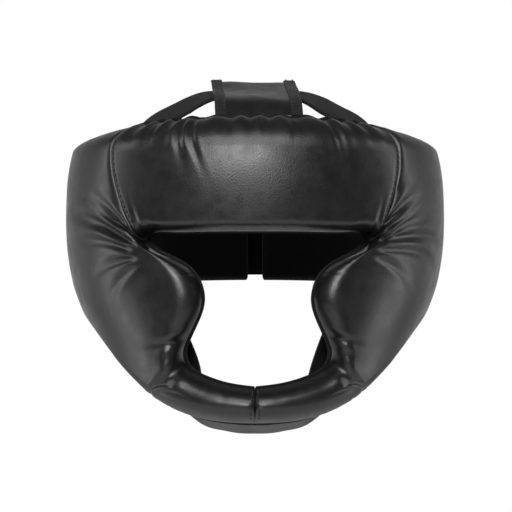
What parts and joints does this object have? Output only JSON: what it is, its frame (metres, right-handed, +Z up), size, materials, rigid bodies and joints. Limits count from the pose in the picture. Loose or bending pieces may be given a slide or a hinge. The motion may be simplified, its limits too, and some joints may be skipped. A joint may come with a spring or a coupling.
{
  "type": "boxing headgear",
  "caption": "Full-face boxing headgear: padded forehead, cheeks and chin bar, open crown with strap, rear closure and chin strap.",
  "frame": {"origin": "centre of the head cavity, level with the wearer's eyes", "axes": "+Z up towards the crown, -Y out of the face opening, +X towards the wearer's left"},
  "size_m": [0.2402, 0.2581, 0.2225],
  "materials": {
    "leather": "satin",
    "foam": "matte",
    "lining": "matte",
    "webbing": "matte",
    "binding": "matte",
    "hook_tape": "matte",
    "loop_tape": "matte"
  },
  "bodies": {
    "shell": {"chin_anchor_left": "webbing", "chin_anchor_right": "webbing", "chin_loop_patch": "loop_tape", "crown_binding": "binding", "crown_loop_patch": "loop_tape", "crown_webbing": "webbing", "forehead_cover": "leather", "forehead_foam": "foam", "forehead_lining": "lining", "left_cheek_foam": "foam", "left_chin_foam": "foam", "left_ear_sleeve": "lining", "left_side_cover": "leather", "left_side_lining": "lining", "left_temple_foam": "foam", "right_cheek_foam": "foam", "right_chin_foam": "foam", "right_ear_sleeve": "lining", "right_side_cover": "leather", "right_side_lining": "lining", "right_temple_foam": "foam"},
    "crown_flap_body": {"crown_flap": "leather", "crown_hook_patch": "hook_tape", "left_flap_hem": "binding", "right_flap_hem": "binding"},
    "rear_wing_left": {"left_rear_binding": "binding", "left_rear_cover": "leather", "left_rear_foam": "foam", "left_rear_lining": "lining", "rear_strap_anchor": "leather"},
    "rear_wing_right": {"right_rear_binding": "binding", "right_rear_cover": "leather", "right_rear_foam": "foam", "right_rear_lining": "lining", "rear_loop_panel": "loop_tape"},
    "rear_strap_body": {"rear_strap": "leather", "rear_strap_hook": "hook_tape", "rear_strap_hem": "binding"},
    "chin_strap_body": {"chin_strap": "leather", "chin_hook_patch": "hook_tape", "chin_pad": "leather"}
  },
  "joints": [
    {"name": "crown_flap_open", "type": "hinge", "parent": "shell", "child": "crown_flap_body", "pos_m": [0, -0.08062, 0.08595], "axis": [1, 0, 0], "range_deg": [0, 100]},
    {"name": "rear_wing_left_open", "type": "hinge", "parent": "shell", "child": "rear_wing_left", "pos_m": [0.10615, 0.0624, 0.03], "axis": [0, 0, -1], "range_deg": [0, 28]},
    {"name": "rear_wing_right_open", "type": "hinge", "parent": "shell", "child": "rear_wing_right", "pos_m": [-0.10615, 0.0624, 0.03], "axis": [0, 0, 1], "range_deg": [0, 28]},
    {"name": "rear_strap_open", "type": "hinge", "parent": "rear_wing_left", "child": "rear_strap_body", "pos_m": [0.07, 0.11472, 0.014], "axis": [0, 0, -1], "range_deg": [0, 110]},
    {"name": "chin_strap_open", "type": "hinge", "parent": "shell", "child": "chin_strap_body", "pos_m": [-0.04144, -0.061, -0.09006], "axis": [-0.4695, 0.8829, 0], "range_deg": [0, 90]}
  ],
  "couplings": [
    {"joint": "rear_wing_right_open", "follows": "rear_wing_left_open", "ratio": 1}
  ]
}
